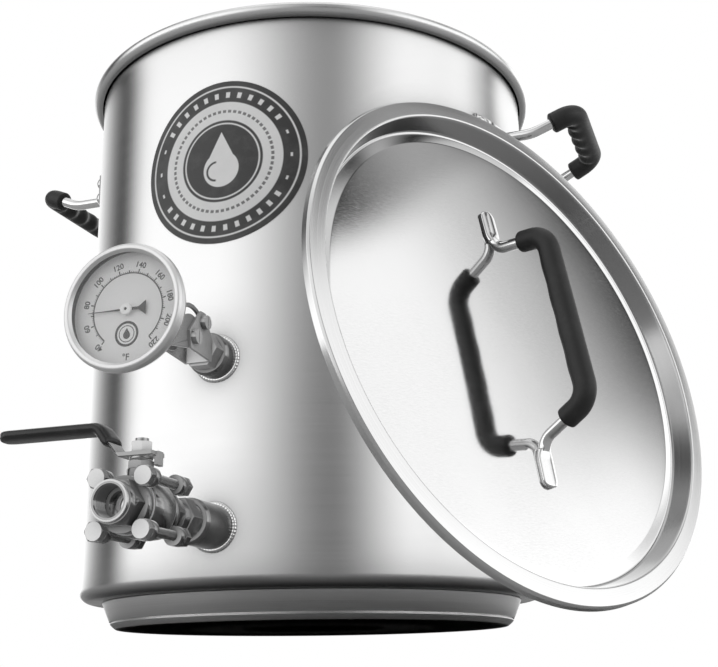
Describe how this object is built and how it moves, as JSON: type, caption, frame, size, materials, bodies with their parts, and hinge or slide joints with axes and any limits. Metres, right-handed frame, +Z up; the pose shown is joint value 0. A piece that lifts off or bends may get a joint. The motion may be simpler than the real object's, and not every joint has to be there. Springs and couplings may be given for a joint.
{
  "type": "brew kettle",
  "caption": "Stainless brewing pot with clad base, side handles, ball valve with lever, tilting dial thermometer and a loose lid leaning on its wall.",
  "frame": {"origin": "on the pot's axis, at the underside of its base", "axes": "+Z up; the valve and the thermometer face -Y; the side handles stand at +X and -X; the lid leans on the wall between -Y and +X"},
  "size_m": [0.5315, 0.489, 0.4313],
  "materials": {
    "shell_steel": "satin, fine vertical brushing",
    "lid_steel": "satin flange, softly polished centre",
    "base_steel": "turned, brushed around",
    "core_aluminium": "cast",
    "polished_steel": "polished",
    "coupler_steel": "turned",
    "valve_steel": "investment cast and polished",
    "fastener_steel": "plain fasteners",
    "lever_steel": "pressed strip",
    "bracket_steel": "pressed sheet",
    "dial_steel": "turned bezel and case",
    "grip_rubber": "matt moulded",
    "sleeve_vinyl": "dipped, satin",
    "seat_plastic": "smooth",
    "gasket_rubber": "matt",
    "lens_glass": "clear",
    "dial_paint": "matt print",
    "pointer_paint": "matt black",
    "pointer_metal": "turned",
    "badge_print": "printed decal"
  },
  "bodies": {
    "kettle": {"badge": "badge_print", "base_cap": "base_steel", "base_core": "core_aluminium", "handle_feet_left": "polished_steel", "handle_feet_right": "polished_steel", "handle_grip_left": "grip_rubber", "handle_grip_right": "grip_rubber", "handle_rivets_left": "polished_steel", "handle_rivets_right": "polished_steel", "handle_rod_left": "polished_steel", "handle_rod_right": "polished_steel", "kettle_shell": "shell_steel", "pivot_screws": "fastener_steel", "thermometer_bracket": "bracket_steel", "thermometer_coupler": "coupler_steel", "thermometer_probe": "bracket_steel", "valve_body": "valve_steel", "valve_body_gaskets": "seat_plastic", "valve_bolts": "fastener_steel", "valve_coupler": "coupler_steel", "valve_front_cap": "valve_steel", "valve_gland_nut": "valve_steel", "valve_nipple": "valve_steel", "valve_nuts": "fastener_steel", "valve_rear_cap": "valve_steel", "valve_seats": "seat_plastic", "valve_spring_washers": "fastener_steel", "valve_stem_packing": "seat_plastic", "weld_beads": "coupler_steel"},
    "valve_lever": {"valve_ball": "valve_steel", "valve_stem": "valve_steel", "lever": "lever_steel", "lever_sleeve": "sleeve_vinyl", "lever_nut": "fastener_steel", "lever_washer": "fastener_steel"},
    "thermometer_head": {"head_yoke": "bracket_steel", "head_neck": "bracket_steel", "dial_case": "dial_steel", "dial_bezel": "dial_steel", "dial_lens": "lens_glass", "lens_gasket": "gasket_rubber", "dial_face": "dial_paint"},
    "dial_pointer": {"pointer": "pointer_paint", "pointer_hub": "pointer_paint", "pointer_shaft": "pointer_metal"},
    "lid": {"lid_panel": "lid_steel", "lid_handle": "polished_steel", "lid_grip": "grip_rubber"}
  },
  "joints": [
    {"name": "valve_turn", "type": "hinge", "parent": "kettle", "child": "valve_lever", "pos_m": [0, -0.2705, 0], "axis": [0, 0, 1], "range_deg": [0, 90]},
    {"name": "thermometer_tilt", "type": "hinge", "parent": "kettle", "child": "thermometer_head", "pos_m": [0, -0.2275, 0.1698], "axis": [-1, 0, 0], "range_deg": [0, 90]},
    {"name": "pointer_sweep", "type": "hinge", "parent": "thermometer_head", "child": "dial_pointer", "pos_m": [0, -0.3015, 0.1698], "axis": [0, 1, 0], "range_deg": [-50, 230]},
    {"name": "lid_slide", "type": "slide", "parent": "kettle", "child": "lid", "axis": [0.8678, -0.497, 0], "range_m": [0, 0.3]}
  ]
}
